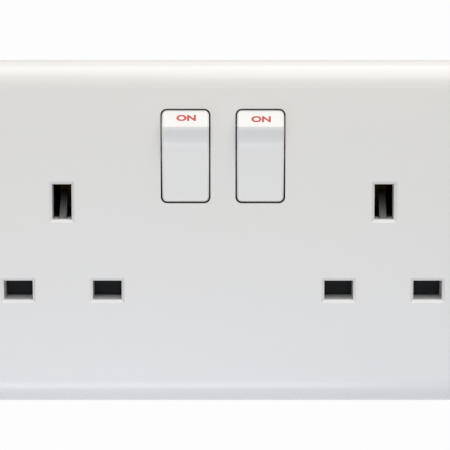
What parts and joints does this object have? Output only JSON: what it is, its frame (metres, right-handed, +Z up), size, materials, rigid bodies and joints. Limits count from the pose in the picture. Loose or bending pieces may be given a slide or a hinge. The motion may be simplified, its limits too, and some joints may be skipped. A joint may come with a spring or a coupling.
{
  "type": "uk twin socket",
  "caption": "Twin switched wall socket for square three-pin plugs, with rocker switches, sprung shutters, brass pin clips and a rear housing with cable terminals.",
  "frame": {"origin": "midway between the two fixing holes, on the wall plane that the plate's rim rests on", "axes": "+X to the right seen from the front, +Y into the wall, +Z up"},
  "size_m": [0.146, 0.0369, 0.086],
  "materials": {
    "white_moulding": "white urea moulding, softly polished",
    "white_rocker": "white polycarbonate moulding",
    "housing_moulding": "black phenolic moulding, plain rear finish",
    "shutter_moulding": "blue-black nylon moulding",
    "plunger_moulding": "natural acetal",
    "spring_wire": "drawn spring wire",
    "contact_brass": "pressed brass strip",
    "tip_silver": "rolled silver contact pad",
    "terminal_brass": "cut brass block",
    "terminal_screw_brass": "turned brass screw",
    "screw_steel": "zinc plated steel screw"
  },
  "bodies": {
    "outlet": {"face_plate": "white_moulding", "rear_housing": "housing_moulding", "left_shutter_spring": "spring_wire", "right_shutter_spring": "spring_wire", "left_live_contact": "contact_brass", "right_live_contact": "contact_brass", "live_bar": "contact_brass", "neutral_bar": "contact_brass", "earth_bar": "contact_brass", "fixed_tips": "tip_silver", "live_terminal": "terminal_brass", "neutral_terminal": "terminal_brass", "earth_terminal": "terminal_brass", "live_terminal_screw": "terminal_screw_brass", "neutral_terminal_screw": "terminal_screw_brass", "earth_terminal_screw": "terminal_screw_brass", "assembly_screws": "screw_steel"},
    "left_switch": {"left_rocker": "white_rocker", "left_plunger_spring": "spring_wire"},
    "left_switch_plunger": {"left_plunger": "plunger_moulding"},
    "left_see_saw": {"left_moving_contact": "contact_brass", "left_moving_tip": "tip_silver"},
    "left_pin_shutter": {"left_shutter": "shutter_moulding"},
    "right_switch": {"right_rocker": "white_rocker", "right_plunger_spring": "spring_wire"},
    "right_switch_plunger": {"right_plunger": "plunger_moulding"},
    "right_see_saw": {"right_moving_contact": "contact_brass", "right_moving_tip": "tip_silver"},
    "right_pin_shutter": {"right_shutter": "shutter_moulding"}
  },
  "joints": [
    {"name": "left_rocker_hinge", "type": "hinge", "parent": "outlet", "child": "left_switch", "pos_m": [-0.00925, -0.006, 0.01985], "axis": [-1, 0, 0], "range_deg": [0, 14]},
    {"name": "left_plunger_slide", "type": "slide", "parent": "left_switch", "child": "left_switch_plunger", "axis": [0, -0.9925, -0.1219], "range_m": [0, 0.001], "stiffness_N_per_m": 1200, "springref_m": -0.001, "deforming": ["left_plunger_spring"]},
    {"name": "left_see_saw_hinge", "type": "hinge", "parent": "outlet", "child": "left_see_saw", "pos_m": [-0.00925, 0.0082, 0.01985], "axis": [1, 0, 0], "range_deg": [0, 21]},
    {"name": "left_shutter_slide", "type": "slide", "parent": "outlet", "child": "left_pin_shutter", "axis": [0, 0, -1], "range_m": [0, 0.0062], "stiffness_N_per_m": 250, "springref_m": -0.003, "deforming": ["left_shutter_spring"]},
    {"name": "right_rocker_hinge", "type": "hinge", "parent": "outlet", "child": "right_switch", "pos_m": [0.00925, -0.006, 0.01985], "axis": [-1, 0, 0], "range_deg": [0, 14]},
    {"name": "right_plunger_slide", "type": "slide", "parent": "right_switch", "child": "right_switch_plunger", "axis": [0, -0.9925, -0.1219], "range_m": [0, 0.001], "stiffness_N_per_m": 1200, "springref_m": -0.001, "deforming": ["right_plunger_spring"]},
    {"name": "right_see_saw_hinge", "type": "hinge", "parent": "outlet", "child": "right_see_saw", "pos_m": [0.00925, 0.0082, 0.01985], "axis": [1, 0, 0], "range_deg": [0, 21]},
    {"name": "right_shutter_slide", "type": "slide", "parent": "outlet", "child": "right_pin_shutter", "axis": [0, 0, -1], "range_m": [0, 0.0062], "stiffness_N_per_m": 250, "springref_m": -0.003, "deforming": ["right_shutter_spring"]}
  ],
  "couplings": [
    {"joint": "left_see_saw_hinge", "follows": "left_rocker_hinge", "ratio": 1.5},
    {"joint": "right_see_saw_hinge", "follows": "right_rocker_hinge", "ratio": 1.5}
  ]
}
